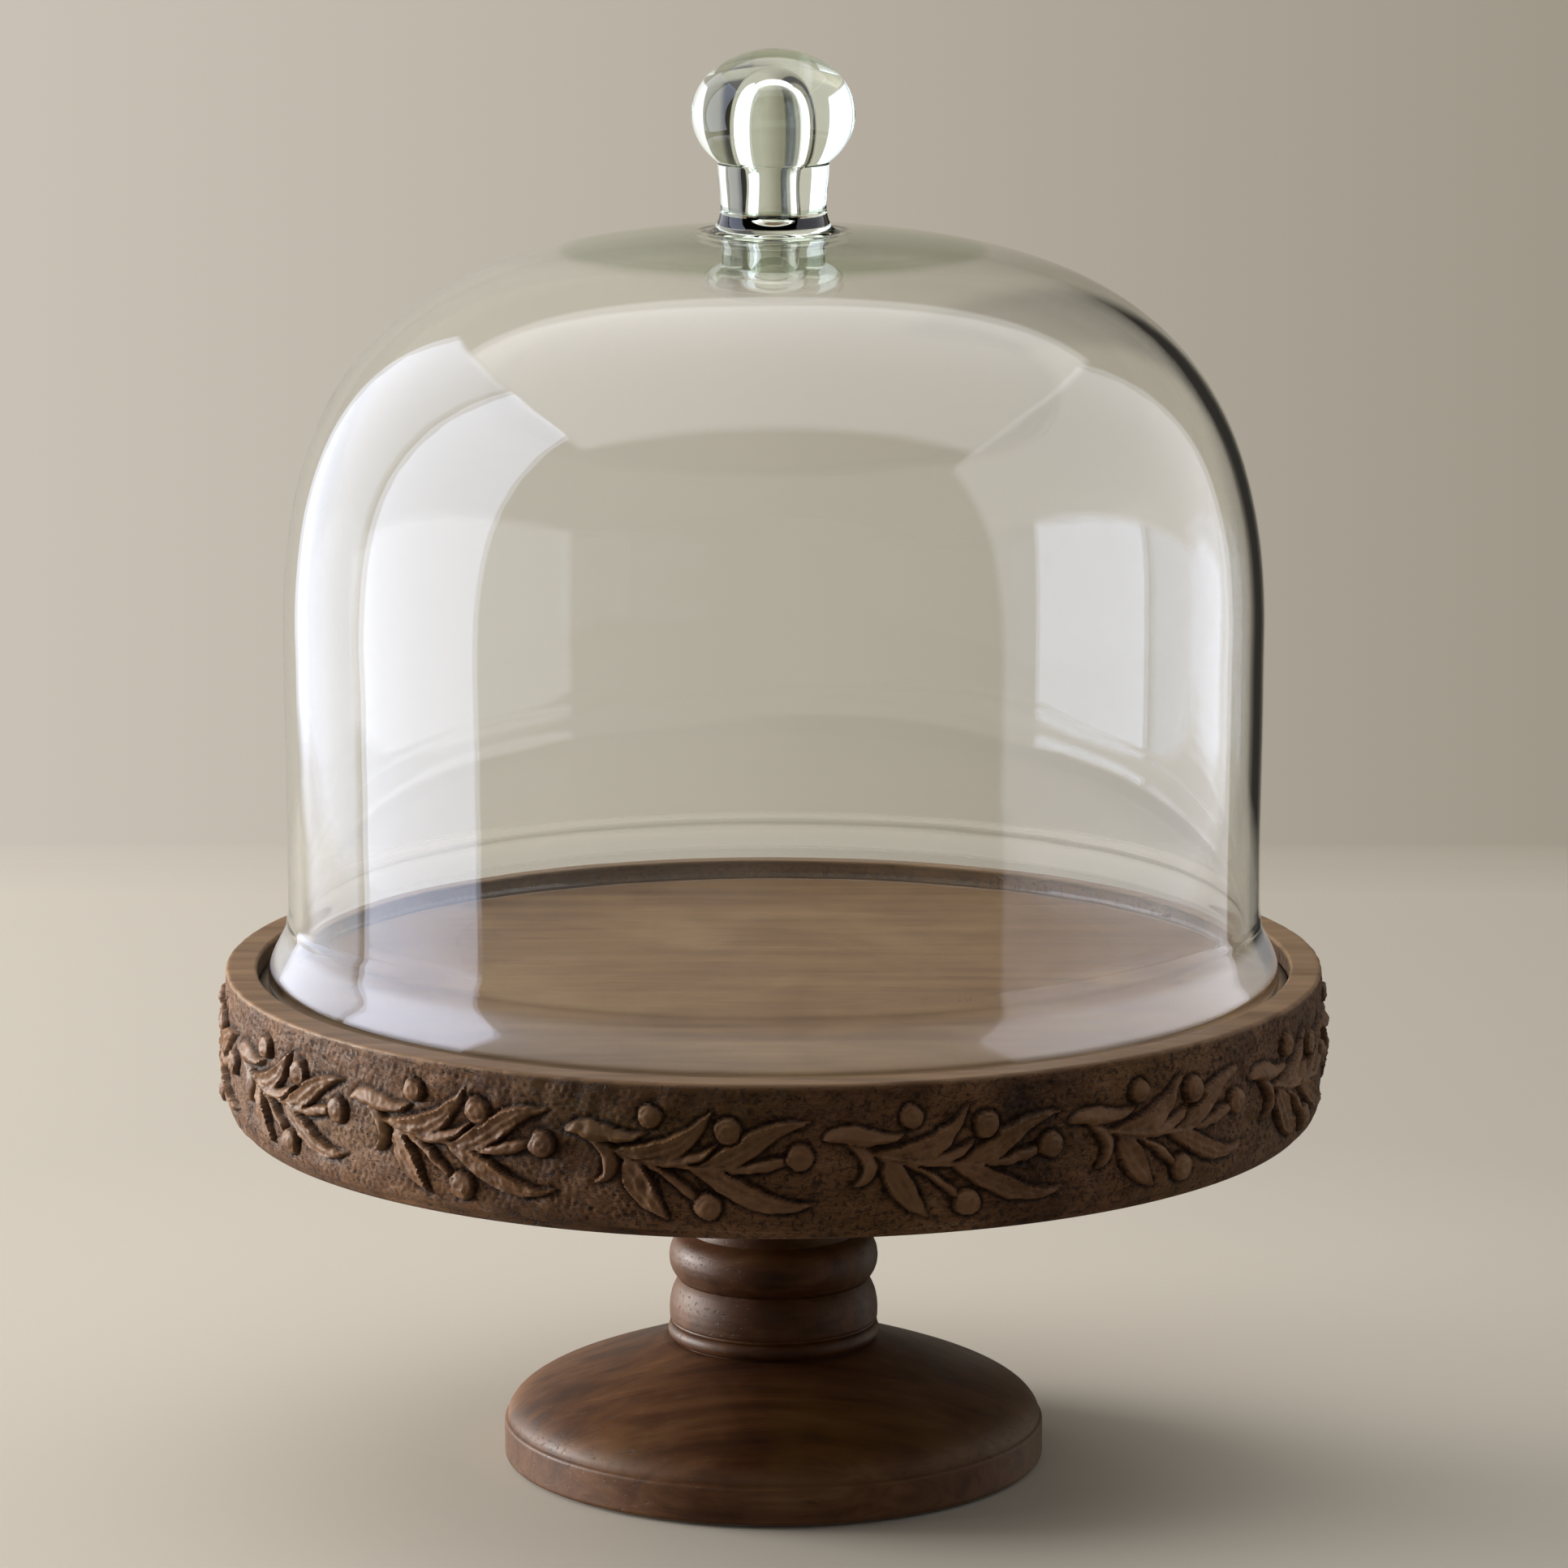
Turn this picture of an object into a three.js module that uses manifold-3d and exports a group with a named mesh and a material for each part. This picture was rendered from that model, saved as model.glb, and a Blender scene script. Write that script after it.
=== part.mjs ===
// A blown-glass bell jar on a footed, carved wooden stand.
// Millimetres, +Z up. The origin is on the table, at the centre of the foot.
import * as THREE from 'three';
import { mergeVertices } from 'three/addons/utils/BufferGeometryUtils.js';
import Module from 'manifold-3d';

const wasm = await Module();
wasm.setup();

// ---- Driving dimensions ----

const GAP = 0.3; // clearance between a piece and the hole it sits in

const PAD = { radius: 9, thickness: 1, circleRadius: 60, count: 4 };

const FOOT = { radius: 75.8, edge: 10.8, seatRadius: 30.2, top: 34.1, counterbore: 11.5, counterboreTop: 17 };

const COLUMN = { bead: 29.3, groove: 26.6, neck: 22.5, flange: 37, tenon: 14, tenonLength: 8, bore: 4.5 };

const TRAY = {
  topZ: 142.7,
  bottomZ: 100.4,
  rimRadius: 152.5,
  bottomRadius: 150,
  recessRadius: 143.9,
  recessDepth: 5.2,
  floorThickness: 18,
  ledgeRadius: 137,
};

const BLOCK = { radius: 54, socketDepth: 10.3, screwCircle: 44.5, counterboreRadius: 4.8, counterboreDepth: 5 };

const BOLT = { radius: 4, length: 100, headRadius: 7.5, headHeight: 5.3, washerRadius: 8.5, washerThickness: 1.6 };

const INSERT = { radius: 5.5, flangeRadius: 8.5, flangeThickness: 1.5, length: 8 };

const SCREW = { radius: 2, headRadius: 4, headHeight: 2.4, length: 23.6, count: 4 };

const DOME = {
  apexZ: 347.6,
  crownRadius: 317.5, // radius of curvature of the crown
  crownReach: 52, // distance from the axis where the crown's arc ends
  bulgeRadius: 135.6,
  bulgeZ: 237.3,
  wallRadius: 135,
  wallFootZ: 160,
  lipRadius: 141.7,
  lipRound: 5.3,
  lipInner: 133.4,
  wall: 3.6,
  crownExtra: 7.6, // how much thicker the glass is at the top than in the wall
  crownExtraReach: 105,
};

const KNOB = { collar: 18, waist: 14, stem: 15.2, ball: 22.4, ballHalfHeight: 17.8, ballCentre: 31.8 };

// The frieze: sprigs of leaves and berries round the rim. Places are [along, down] from the
// sprig's left tip and the rim's top edge. The first sprig starts startDeg round from the front.
const FRIEZE = { count: 14, startDeg: 4.75, height: 1.9, root: 1.5, berryRadius: 3.6 };
const LEAVES = [
  { from: [0.2, -14.5], by: [11.4, -16.6], to: [22.1, -13.5], half: 2.3 },
  { from: [9, -16.8], by: [17.5, -22], to: [7.2, -27.6], half: 2 },
  { from: [14.2, -18.9], by: [28, -18.7], to: [39, -6.5], half: 3.4 },
  { from: [35.3, -21.8], by: [48.5, -19.5], to: [65, -10.4], half: 3.4 },
  { from: [16.6, -20.6], by: [19.6, -28], to: [28.1, -36], half: 3.4 },
  { from: [22, -21], by: [51, -33], to: [66.4, -30.8], half: 2.6 },
];
const BERRIES = [
  [23.2, -9.2],
  [43.5, -12.3],
  [62.2, -19.2],
  [38.5, -32.6],
];

// Sides of the turned pieces
const RIM_SIDES = 56;
const DOME_SIDES = 48;
const TURNED_SIDES = 32;
const SMALL_SIDES = 20;

// ---- Heights worked out from the above ----

const floorTopZ = TRAY.topZ - TRAY.recessDepth;
const floorBottomZ = floorTopZ - TRAY.floorThickness;
const footBottomZ = PAD.thickness;
const columnTopZ = TRAY.bottomZ;
const socketFloorZ = FOOT.top - COLUMN.tenonLength - GAP;
const boltSeatZ = FOOT.counterboreTop - BOLT.washerThickness;
const socketRoofZ = TRAY.bottomZ + BLOCK.socketDepth;
const screwSeatZ = TRAY.bottomZ + BLOCK.counterboreDepth;

// ---- Finishes ----

const glass = { color: 0xe3ece4, roughness: 0.03, metalness: 0 };
const carvedWood = { color: 0x6b5140, roughness: 0.62, metalness: 0 };
const floorWood = { color: 0x8c7058, roughness: 0.55, metalness: 0 };
const turnedWood = { color: 0x5c4436, roughness: 0.5, metalness: 0 };
const plainWood = { color: 0x9a7d5d, roughness: 0.75, metalness: 0 };
const steel = { color: 0xb4b7ba, roughness: 0.35, metalness: 1 };
const brass = { color: 0xc49a4e, roughness: 0.35, metalness: 1 };
const felt = { color: 0x3b3a38, roughness: 0.95, metalness: 0 };

// ---- Outline helpers: points are [radius, height] ----

function bezier(a, b, c, d, steps) {
  const curve = new THREE.CubicBezierCurve(...[a, b, c, d].map((p) => new THREE.Vector2(...p)));
  return curve.getPoints(steps).map((p) => [p.x, p.y]);
}

function arc(centreR, centreZ, radiusR, radiusZ, fromDeg, toDeg, steps) {
  const points = [];
  for (let i = 0; i <= steps; i += 1) {
    const angle = THREE.MathUtils.degToRad(fromDeg + ((toDeg - fromDeg) * i) / steps);
    points.push([centreR + radiusR * Math.cos(angle), centreZ + radiusZ * Math.sin(angle)]);
  }
  return points;
}

function withoutRepeats(points) {
  const apart = (p, q) => Math.hypot(p[0] - q[0], p[1] - q[1]) > 0.01;
  return points.filter((p, i) => i === 0 || apart(p, points[i - 1]));
}

// ---- Solid helpers ----

// A turned solid. The outline runs anticlockwise: up the outside and down the inside.
function turned(outline, sides) {
  const points = withoutRepeats(outline).map(([r, z]) => new THREE.Vector2(Math.max(r, 0), z));
  const geometry = new THREE.LatheGeometry(points, sides);
  geometry.rotateX(Math.PI / 2);
  return geometry;
}

// A turned solid round a through hole: the outline is closed back to its first point.
function turnedRing(outline, sides) {
  return turned([...outline, outline[0]], sides);
}

function cylinder(radius, fromZ, toZ, sides) {
  return turned([[0, fromZ], [radius, fromZ], [radius, toZ], [0, toZ]], sides);
}

function toSolid(geometry) {
  const bare = geometry.clone();
  bare.deleteAttribute('normal');
  bare.deleteAttribute('uv');
  const merged = mergeVertices(bare, 1e-4);
  const corners = [];
  for (let i = 0; i < merged.index.count; i += 3) {
    const [a, b, c] = [0, 1, 2].map((k) => merged.index.getX(i + k));
    if (a !== b && b !== c && c !== a) corners.push(a, b, c);
  }
  const vertProperties = new Float32Array(merged.attributes.position.array);
  const mesh = new wasm.Mesh({ numProp: 3, vertProperties, triVerts: new Uint32Array(corners) });
  return new wasm.Manifold(mesh);
}

function fromSolid(solid) {
  const mesh = solid.getMesh();
  const geometry = new THREE.BufferGeometry();
  geometry.setAttribute('position', new THREE.BufferAttribute(mesh.vertProperties, 3));
  geometry.setIndex(new THREE.BufferAttribute(mesh.triVerts, 1));
  return geometry;
}

function joined(geometry, additions) {
  return fromSolid(additions.reduce((solid, piece) => solid.add(toSolid(piece)), toSolid(geometry)));
}

function drilled(geometry, cutters) {
  return fromSolid(cutters.reduce((solid, piece) => solid.subtract(toSolid(piece)), toSolid(geometry)));
}

// Places evenly spaced on a circle, the first at startDeg
function onCircle(count, radius, startDeg) {
  return Array.from({ length: count }, (_, i) => {
    const angle = THREE.MathUtils.degToRad(startDeg + (360 * i) / count);
    return [radius * Math.cos(angle), radius * Math.sin(angle)];
  });
}

// ---- Glass ----

function domeOutside() {
  const d = DOME;
  const crownEnd = Math.asin(d.crownReach / d.crownRadius);
  const crownCentreZ = d.apexZ - d.crownRadius;
  const toDeg = THREE.MathUtils.radToDeg(Math.PI / 2 - crownEnd);
  const landDeg = THREE.MathUtils.radToDeg(Math.acos((KNOB.collar + GAP) / d.crownRadius));
  const crown = arc(0, crownCentreZ, d.crownRadius, d.crownRadius, toDeg, landDeg, 2);
  const [shoulderR, shoulderZ] = crown[0];
  const reach = 65.7;
  const turnIn = [shoulderR + reach * Math.cos(crownEnd), shoulderZ - reach * Math.sin(crownEnd)];
  const lipZ = floorTopZ + d.lipRound;
  return [
    ...arc(d.lipRadius - d.lipRound, lipZ, d.lipRound, d.lipRound, -90, 0, 3),
    ...bezier([d.lipRadius, lipZ], [d.lipRadius, lipZ + 5], [d.wallRadius, lipZ + 6], [d.wallRadius, d.wallFootZ], 5),
    ...bezier(
      [d.wallRadius, d.wallFootZ],
      [d.wallRadius, d.wallFootZ + 30],
      [d.bulgeRadius, d.bulgeZ - 30],
      [d.bulgeRadius, d.bulgeZ],
      3,
    ),
    ...bezier([d.bulgeRadius, d.bulgeZ], [d.bulgeRadius, d.bulgeZ + 54.5], turnIn, [shoulderR, shoulderZ], 10),
    ...crown,
  ];
}

// The flat land at the top of the bell that the knob is fused to
const landZ = domeOutside().at(-1)[1];

function glassAt(radius) {
  const t = Math.max(0, 1 - radius / DOME.crownExtraReach);
  return DOME.wall + DOME.crownExtra * t * t * (3 - 2 * t);
}

function domeInside() {
  const outside = withoutRepeats(domeOutside()).filter(([, z]) => z > DOME.wallFootZ - 2);
  const inner = [];
  for (let i = outside.length - 2; i > 0; i -= 1) {
    const [r, z] = outside[i];
    const dr = outside[i + 1][0] - outside[i - 1][0];
    const dz = outside[i + 1][1] - outside[i - 1][1];
    const scale = glassAt(r) / Math.hypot(dr, dz);
    inner.push([r - dz * scale, z + dr * scale]);
  }
  return inner;
}

function glassDome() {
  const bottomZ = floorTopZ;
  const innerWall = DOME.wallRadius - DOME.wall;
  return turned(
    [
      [0, DOME.apexZ - glassAt(0)],
      ...domeInside(),
      [innerWall, bottomZ + 14],
      ...bezier([innerWall, bottomZ + 10], [innerWall, bottomZ + 4], [131.6, bottomZ], [DOME.lipInner, bottomZ], 3),
      ...domeOutside(),
      [0, landZ],
    ],
    DOME_SIDES,
  );
}

function glassKnob() {
  const k = KNOB;
  const z = landZ;
  return turned(
    [
      [0, z],
      [k.collar - 1, z],
      ...arc(k.collar - 1.9, z + 2, 1.9, 1.7, -50, 60, 3),
      ...bezier([k.waist + 1, z + 4.2], [k.waist - 0.6, z + 5.4], [k.waist - 0.4, z + 7.5], [k.stem, z + 10.5], 4),
      [k.stem + 0.3, z + 16.5],
      ...arc(0, z + k.ballCentre, k.ball, k.ballHalfHeight, -41, 90, 11),
    ],
    TURNED_SIDES,
  );
}

// ---- Tray ----

// A point of the frieze on the rim's face, at a height above the face
function onRim([along, down], sprig, proud) {
  const pitch = (2 * Math.PI) / FRIEZE.count;
  const start = THREE.MathUtils.degToRad(FRIEZE.startDeg - 90);
  const angle = start + sprig * pitch + along / TRAY.rimRadius;
  const radius = TRAY.rimRadius + proud;
  return new THREE.Vector3(radius * Math.cos(angle), radius * Math.sin(angle), TRAY.topZ + down);
}

// A raised shape on the rim: the outline runs anticlockwise as seen from outside
function raised(outline, sprig) {
  const n = outline.length;
  const flat = outline.map((p) => new THREE.Vector2(...p));
  const front = outline.map((p) => onRim(p, sprig, FRIEZE.height));
  const back = outline.map((p) => onRim(p, sprig, -FRIEZE.root));
  const index = [];
  for (const [a, b, c] of THREE.ShapeUtils.triangulateShape(flat, [])) {
    index.push(a, b, c, c + n, b + n, a + n);
  }
  for (let i = 0; i < n; i += 1) {
    const j = (i + 1) % n;
    index.push(i, i + n, j, j, i + n, j + n);
  }
  const geometry = new THREE.BufferGeometry().setFromPoints([...front, ...back]);
  geometry.setIndex(index);
  return geometry;
}

function leafOutline({ from, by, to, half }) {
  const spine = new THREE.QuadraticBezierCurve(...[from, by, to].map((p) => new THREE.Vector2(...p)));
  const side = (reach) => {
    const centre = spine.getPoint(0.6);
    const along = spine.getTangent(0.6);
    return [centre.x + along.y * reach, centre.y - along.x * reach];
  };
  return [from, side(half), to, side(-half)];
}

function berryOutline([along, down]) {
  return onCircle(5, FRIEZE.berryRadius, 18).map(([x, y]) => [along + x, down + y]);
}

function trayRim() {
  const t = TRAY;
  const ring = turnedRing(
    [
      [t.ledgeRadius, t.bottomZ],
      [t.bottomRadius - 2.5, t.bottomZ],
      [t.bottomRadius, t.bottomZ + 1.6],
      [t.rimRadius, t.bottomZ + 9],
      [t.rimRadius, t.topZ - 0.8],
      [t.rimRadius - 0.8, t.topZ],
      [t.recessRadius + 0.6, t.topZ],
      [t.recessRadius, t.topZ - 0.6],
      [t.recessRadius, floorBottomZ],
      [t.ledgeRadius, floorBottomZ],
    ],
    RIM_SIDES,
  );
  const carving = [];
  for (let sprig = 0; sprig < FRIEZE.count; sprig += 1) {
    for (const leaf of LEAVES) carving.push(raised(leafOutline(leaf), sprig));
    for (const berry of BERRIES) carving.push(raised(berryOutline(berry), sprig));
  }
  return joined(ring, carving);
}

function screwPlaces() {
  return onCircle(SCREW.count, BLOCK.screwCircle, 45);
}

function trayFloor() {
  const panel = cylinder(TRAY.recessRadius - GAP, floorBottomZ, floorTopZ, RIM_SIDES);
  const holeTopZ = screwSeatZ + SCREW.length + GAP;
  const holes = screwPlaces().map(([x, y]) =>
    cylinder(SCREW.radius + GAP, floorBottomZ - 1, holeTopZ, SMALL_SIDES).translate(x, y, 0),
  );
  return drilled(panel, holes);
}

function mountingBlock() {
  const bottomZ = TRAY.bottomZ;
  const insertTopZ = socketRoofZ + INSERT.length - INSERT.flangeThickness + GAP;
  const block = turned(
    [
      [0, insertTopZ],
      [INSERT.radius + GAP, insertTopZ],
      [INSERT.radius + GAP, socketRoofZ],
      [COLUMN.tenon + GAP, socketRoofZ],
      [COLUMN.tenon + GAP, bottomZ],
      [BLOCK.radius - 1.5, bottomZ],
      [BLOCK.radius, bottomZ + 1.5],
      [BLOCK.radius, floorBottomZ],
      [0, floorBottomZ],
    ],
    TURNED_SIDES,
  );
  const holes = screwPlaces().flatMap(([x, y]) => [
    cylinder(BLOCK.counterboreRadius, bottomZ - 1, screwSeatZ, SMALL_SIDES).translate(x, y, 0),
    cylinder(SCREW.radius + GAP, bottomZ - 1, floorBottomZ + 1, SMALL_SIDES).translate(x, y, 0),
  ]);
  return drilled(block, holes);
}

function blockScrew() {
  return turned(
    [
      [0, screwSeatZ - SCREW.headHeight],
      [SCREW.headRadius * 0.7, screwSeatZ - SCREW.headHeight],
      [SCREW.headRadius, screwSeatZ - SCREW.headHeight * 0.5],
      [SCREW.headRadius, screwSeatZ],
      [SCREW.radius, screwSeatZ],
      [SCREW.radius, screwSeatZ + SCREW.length - 3.5],
      [0, screwSeatZ + SCREW.length],
    ],
    SMALL_SIDES,
  );
}

function threadedInsert() {
  const z = socketRoofZ;
  const flangeZ = z - INSERT.flangeThickness;
  const bore = BOLT.radius + GAP;
  return turnedRing(
    [
      [bore, flangeZ],
      [INSERT.flangeRadius, flangeZ],
      [INSERT.flangeRadius, z],
      [INSERT.radius, z],
      [INSERT.radius, flangeZ + INSERT.length],
      [bore, flangeZ + INSERT.length],
    ],
    SMALL_SIDES,
  );
}

// ---- Pedestal ----

function pedestalColumn() {
  const c = COLUMN;
  const baseZ = FOOT.top;
  const grooveZ = baseZ + 17.5;
  const beadZ = grooveZ + 6.4;
  const neckZ = beadZ + 15;
  return turnedRing(
    [
      [c.bore, baseZ - c.tenonLength],
      [c.tenon, baseZ - c.tenonLength],
      [c.tenon, baseZ],
      [c.bead - 0.9, baseZ],
      ...arc(c.bead - 2.4, baseZ + 2.6, 2.7, 2.7, -50, 60, 3),
      [c.bead - 0.6, baseZ + 5.7],
      ...bezier([c.bead + 0.1, baseZ + 6.6], [c.bead, baseZ + 11], [c.groove + 1.2, grooveZ - 3], [c.groove, grooveZ], 4),
      ...arc(c.groove - 2.2, beadZ, c.bead - c.groove + 2.2, 6.9, -68, 68, 6),
      [c.neck + 1.6, beadZ + 8],
      ...bezier([c.neck, beadZ + 10], [c.neck - 0.5, neckZ], [c.neck + 2, columnTopZ - 9], [c.flange - 2, columnTopZ - 6], 5),
      [c.flange, columnTopZ - 4.8],
      [c.flange, columnTopZ],
      [c.tenon, columnTopZ],
      [c.tenon, columnTopZ + c.tenonLength],
      [c.bore, columnTopZ + c.tenonLength],
    ],
    TURNED_SIDES,
  );
}

function footDisc() {
  const f = FOOT;
  const edgeZ = footBottomZ + f.edge;
  return turnedRing(
    [
      [f.counterbore, f.counterboreTop],
      [f.counterbore, footBottomZ],
      [f.radius - 0.8, footBottomZ],
      [f.radius, footBottomZ + 0.8],
      [f.radius, edgeZ - 0.9],
      ...bezier([f.radius - 0.4, edgeZ], [f.radius - 1, edgeZ + 8], [f.seatRadius + 27, f.top - 10], [f.seatRadius + 1, f.top], 9),
      [COLUMN.tenon + GAP, f.top],
      [COLUMN.tenon + GAP, socketFloorZ],
      [COLUMN.bore, socketFloorZ],
      [COLUMN.bore, f.counterboreTop],
    ],
    TURNED_SIDES * 1.5,
  );
}

function centreBolt() {
  const headZ = boltSeatZ - BOLT.headHeight;
  const head = cylinder(BOLT.headRadius, headZ, boltSeatZ, 6);
  const shank = cylinder(BOLT.radius, headZ + 1, boltSeatZ + BOLT.length, SMALL_SIDES);
  return joined(head, [shank]);
}

function boltWasher() {
  const bore = BOLT.radius + GAP;
  return turnedRing(
    [
      [bore, boltSeatZ],
      [BOLT.washerRadius, boltSeatZ],
      [BOLT.washerRadius, FOOT.counterboreTop],
      [bore, FOOT.counterboreTop],
    ],
    SMALL_SIDES,
  );
}

// ---- Assembly ----

const assembly = new THREE.Group();

function place(name, geometry, finish, [x, y] = [0, 0]) {
  const mesh = new THREE.Mesh(geometry, new THREE.MeshStandardMaterial(finish));
  mesh.name = name;
  mesh.position.set(x, y, 0);
  assembly.add(mesh);
}

place('glass_dome', glassDome(), glass);
place('glass_knob', glassKnob(), glass);
place('tray_rim', trayRim(), carvedWood);
place('tray_floor', trayFloor(), floorWood);
place('mounting_block', mountingBlock(), plainWood);
place('threaded_insert', threadedInsert(), brass);
place('pedestal_column', pedestalColumn(), turnedWood);
place('foot_disc', footDisc(), turnedWood);
place('centre_bolt', centreBolt(), steel);
place('bolt_washer', boltWasher(), steel);
screwPlaces().forEach((at, i) => place(`block_screw_${i + 1}`, blockScrew(), steel, at));
onCircle(PAD.count, PAD.circleRadius, 45).forEach((at, i) => {
  place(`foot_pad_${i + 1}`, cylinder(PAD.radius, 0, PAD.thickness, SMALL_SIDES), felt, at);
});

export default assembly;
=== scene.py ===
import math

import bpy
import numpy as np
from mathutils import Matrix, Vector


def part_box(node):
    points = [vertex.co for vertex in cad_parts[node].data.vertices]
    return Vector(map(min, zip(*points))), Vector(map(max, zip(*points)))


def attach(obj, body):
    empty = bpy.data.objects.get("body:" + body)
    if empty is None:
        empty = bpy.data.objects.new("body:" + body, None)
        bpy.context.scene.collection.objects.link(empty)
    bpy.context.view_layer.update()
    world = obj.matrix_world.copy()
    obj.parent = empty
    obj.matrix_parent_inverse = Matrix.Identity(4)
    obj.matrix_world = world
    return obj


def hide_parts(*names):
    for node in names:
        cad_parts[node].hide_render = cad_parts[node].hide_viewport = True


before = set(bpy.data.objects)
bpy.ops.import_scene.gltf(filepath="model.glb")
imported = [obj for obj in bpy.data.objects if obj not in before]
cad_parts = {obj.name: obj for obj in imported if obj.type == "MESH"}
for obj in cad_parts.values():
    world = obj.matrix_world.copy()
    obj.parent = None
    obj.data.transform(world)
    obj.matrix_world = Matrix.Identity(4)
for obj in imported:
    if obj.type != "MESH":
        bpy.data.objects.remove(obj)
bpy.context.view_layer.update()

# A blown-glass bell jar on a footed, carved wooden stand. Metres, +Z up, front is -Y.
# The outlines below are in millimetres and are turned round the Z axis.

MM = 0.001
SEED = 20


def box_mm(node):
    low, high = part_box(node)
    return [v / MM for v in low], [v / MM for v in high]


# ---- Places and sizes taken from the frame ----

(_, _, TRAY_BOTTOM), (_, _, TRAY_TOP) = box_mm("tray_rim")
(_, _, FLOOR_BOTTOM), (FLOOR_RADIUS, _, FLOOR_TOP) = box_mm("tray_floor")
(_, _, _), (LIP_RADIUS, _, LAND_Z) = box_mm("glass_dome")
(_, _, _), (_, _, KNOB_TOP) = box_mm("glass_knob")
(_, _, FOOT_BOTTOM), (FOOT_RADIUS, _, FOOT_TOP) = box_mm("foot_disc")
(_, _, TENON_BOTTOM), (FLANGE_RADIUS, _, TENON_TOP) = box_mm("pedestal_column")

# ---- Driving sizes of the fine shapes, in millimetres ----

RIM_RADIUS = 152.5
RIM_BOTTOM_RADIUS = 150.0
RECESS_RADIUS = 143.9
LEDGE_RADIUS = 137.0

DOME_CROWN_RADIUS = 317.5
DOME_CROWN_REACH = 52.0
DOME_BULGE = (135.6, 237.3)
DOME_WALL = (135.0, 160.0)
DOME_GLASS = 3.6
DOME_CROWN_EXTRA = 0.6
DOME_CROWN_EXTRA_REACH = 105.0
CROWN_TINT_REACH = 60.0
LIP_ROUND = 1.4
LIP_DRAWN_IN = 0.9
LIP_SUNK = 0.08
KNOB_TINT = 0.32
FLARE_TOP_Z = 156.0

KNOB_COLLAR = 18.0
KNOB_WAIST = 14.0
KNOB_STEM = 15.2
KNOB_BALL = 22.4
KNOB_BALL_HALF_HEIGHT = 17.8

COLUMN_BEAD = 29.3
COLUMN_GROOVE = 26.6
COLUMN_NECK = 22.5
COLUMN_TENON = 14.0
COLUMN_BORE = 4.5

FOOT_EDGE = 10.8
FOOT_SEAT = 30.2
COUNTERBORE = 11.5
COUNTERBORE_TOP = 17.0
SOCKET_GAP = 0.3


# ---- Outlines: lists of (radius, height) ----


def line(*points, step=1.0):
    out = []
    for (r0, z0), (r1, z1) in zip(points, points[1:]):
        count = max(1, round(math.hypot(r1 - r0, z1 - z0) / step))
        out += [(r0 + (r1 - r0) * i / count, z0 + (z1 - z0) * i / count) for i in range(count)]
    return out + [points[-1]]


def bezier(a, b, c, d, count=24):
    out = []
    for i in range(count + 1):
        t = i / count
        w = ((1 - t) ** 3, 3 * (1 - t) ** 2 * t, 3 * (1 - t) * t * t, t**3)
        out.append(tuple(sum(k * p[axis] for k, p in zip(w, (a, b, c, d))) for axis in (0, 1)))
    return out


def arc(centre, radii, start, end, count=16):
    out = []
    for i in range(count + 1):
        angle = math.radians(start + (end - start) * i / count)
        out.append((centre[0] + radii[0] * math.cos(angle), centre[1] + radii[1] * math.sin(angle)))
    return out


def tidy(outline):
    out = [outline[0]]
    for p in outline[1:]:
        if math.hypot(p[0] - out[-1][0], p[1] - out[-1][1]) > 0.02:
            out.append(p)
    return out


# ---- Meshes ----


def mesh_object(name, vertices, faces, smooth_angle=35):
    mesh = bpy.data.meshes.new(name)
    mesh.from_pydata((np.asarray(vertices) * MM).tolist(), [], faces)
    mesh.update()
    mesh.shade_smooth()
    mesh.set_sharp_from_angle(angle=math.radians(smooth_angle))
    piece = bpy.data.objects.new(name, mesh)
    bpy.context.scene.collection.objects.link(piece)
    return piece


def turned_faces(rings, sides, closed):
    """Quads between rings of vertices; a closed outline joins its last ring to its first."""
    near = np.arange(sides)
    far = (near + 1) % sides
    faces = []
    for i in range(rings if closed else rings - 1):
        a, b = i * sides, ((i + 1) % rings) * sides
        faces.append(np.stack([a + near, a + far, b + far, b + near], axis=1))
    return np.concatenate(faces).tolist()


def turned_shell(outline, sides, closed, wobble=None):
    """Vertices and faces of a turned surface. The outline runs anticlockwise. It closes on itself, or starts
    and ends on the axis. wobble(angle, r, z) is how far each vertex moves outwards, in millimetres."""
    outline = tidy(outline)
    if closed and math.dist(outline[0], outline[-1]) < 0.02:
        outline = outline[:-1]
    body = np.array(outline if closed else outline[1:-1])
    angle = np.arange(sides) * 2 * math.pi / sides
    r = np.repeat(body[:, :1], sides, axis=1)
    z = np.repeat(body[:, 1:], sides, axis=1)
    if wobble is not None:
        r = r + wobble(angle[None, :], r, z)
    vertices = np.stack([r * np.cos(angle), r * np.sin(angle), z], axis=-1).reshape(-1, 3)
    faces = turned_faces(len(body), sides, closed)
    if not closed:
        first, last = len(vertices), len(vertices) + 1
        vertices = np.vstack([vertices, [[0, 0, outline[0][1]], [0, 0, outline[-1][1]]]])
        end = (len(body) - 1) * sides
        for i in range(sides):
            j = (i + 1) % sides
            faces.append([first, j, i])
            faces.append([last, end + i, end + j])
    return vertices, faces


def joined(shells):
    vertices, faces = [], []
    for shell_vertices, shell_faces in shells:
        start = sum(len(v) for v in vertices)
        vertices.append(shell_vertices)
        faces += [[start + i for i in face] for face in shell_faces]
    return np.vstack(vertices), faces


def turned(name, outline, sides=160, closed=True, wobble=None, smooth_angle=35):
    return mesh_object(name, *turned_shell(outline, sides, closed, wobble), smooth_angle)


def store(piece, name, values):
    """Keep one number for each vertex, for the material to read."""
    layer = piece.data.attributes.new(name, "FLOAT", "POINT")
    layer.data.foreach_set("value", np.asarray(values, dtype=np.float32).ravel())


def smoothstep(low, high, x):
    t = np.clip((x - low) / (high - low), 0, 1)
    return t * t * (3 - 2 * t)


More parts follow.
